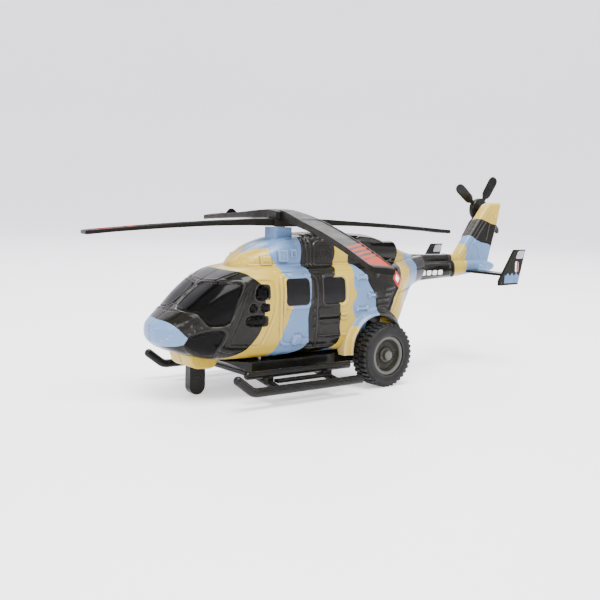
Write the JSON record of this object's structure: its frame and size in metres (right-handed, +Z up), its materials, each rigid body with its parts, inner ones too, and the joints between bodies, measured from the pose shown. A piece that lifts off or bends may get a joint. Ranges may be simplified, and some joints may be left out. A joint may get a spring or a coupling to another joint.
{
  "type": "toy helicopter",
  "caption": "Push-along toy helicopter in camouflage paint, with a spinning main rotor and tail rotor, skids, a nose peg and two geared rear wheels.",
  "frame": {"origin": "centre of the object's box at floor level, under the cabin on the centre plane", "axes": "+X forward to the nose, +Y to port, +Z up from the floor"},
  "size_m": [0.1985, 0.1399, 0.0789],
  "materials": {
    "painted_shell": "painted, semi-gloss",
    "window_black": "gloss",
    "black_plastic": "gloss",
    "blue_plastic": "painted, semi-gloss",
    "tyre": "matt",
    "rim_plastic": "satin",
    "steel": "plated",
    "gear_plastic": "natural",
    "case_plastic": "natural",
    "brass": "plain",
    "rotor_plastic": "gloss"
  },
  "bodies": {
    "airframe": {"fuselage_shell_left": "painted_shell", "fuselage_shell_right": "painted_shell", "side_windows_left": "window_black", "side_windows_right": "window_black", "exhaust_left": "black_plastic", "exhaust_right": "black_plastic", "mast_collar": "blue_plastic", "chassis_base": "black_plastic", "nose_peg": "black_plastic", "skid_tube_left": "black_plastic", "skid_tube_right": "black_plastic", "step_rail_left": "black_plastic", "step_rail_right": "black_plastic", "step_board_left": "black_plastic", "step_board_right": "black_plastic", "cross_tube_front": "black_plastic", "cross_tube_rear": "black_plastic", "gear_arbors": "steel", "rotor_mast": "steel", "tail_rotor_pin": "steel", "rotor_washer": "steel", "mainspring": "steel", "motor_case_left": "case_plastic", "motor_case_right": "case_plastic", "case_rivets": "brass", "shell_screws": "steel", "chassis_screws": "steel", "rotor_cap": "rotor_plastic", "tail_plane": "black_plastic", "end_plate_left": "black_plastic", "end_plate_right": "black_plastic"},
    "rear_wheels": {"rear_axle": "steel", "tyre_left": "tyre", "tyre_right": "tyre", "wheel_rim_left": "rim_plastic", "wheel_rim_right": "rim_plastic", "axle_gear": "gear_plastic"},
    "idler": {"idler_gear": "gear_plastic"},
    "barrel": {"spring_barrel": "gear_plastic"},
    "main_rotor": {"rotor_blades_lower": "rotor_plastic", "rotor_blades_upper": "rotor_plastic"},
    "tail_rotor_body": {"tail_rotor": "rotor_plastic"}
  },
  "joints": [
    {"name": "wheels_roll", "type": "hinge", "parent": "airframe", "child": "rear_wheels", "pos_m": [-0.0016, 0, 0.0116], "axis": [0, 1, 0], "continuous": true},
    {"name": "idler_turn", "type": "hinge", "parent": "airframe", "child": "idler", "pos_m": [0.00313, 0, 0.02175], "axis": [0, 1, 0], "continuous": true},
    {"name": "barrel_turn", "type": "hinge", "parent": "airframe", "child": "barrel", "pos_m": [0.01223, 0, 0.0165], "axis": [0, 1, 0], "continuous": true},
    {"name": "main_rotor_spin", "type": "hinge", "parent": "airframe", "child": "main_rotor", "pos_m": [0.0287, 0, 0.0535], "axis": [0.0269, 0.0827, 0.9962], "continuous": true},
    {"name": "tail_rotor_spin", "type": "hinge", "parent": "airframe", "child": "tail_rotor_body", "pos_m": [-0.0856, -0.008, 0.0649], "axis": [0, 1, 0], "continuous": true}
  ],
  "couplings": [
    {"joint": "idler_turn", "follows": "wheels_roll", "ratio": -0.45455},
    {"joint": "barrel_turn", "follows": "wheels_roll", "ratio": 0.22727}
  ]
}
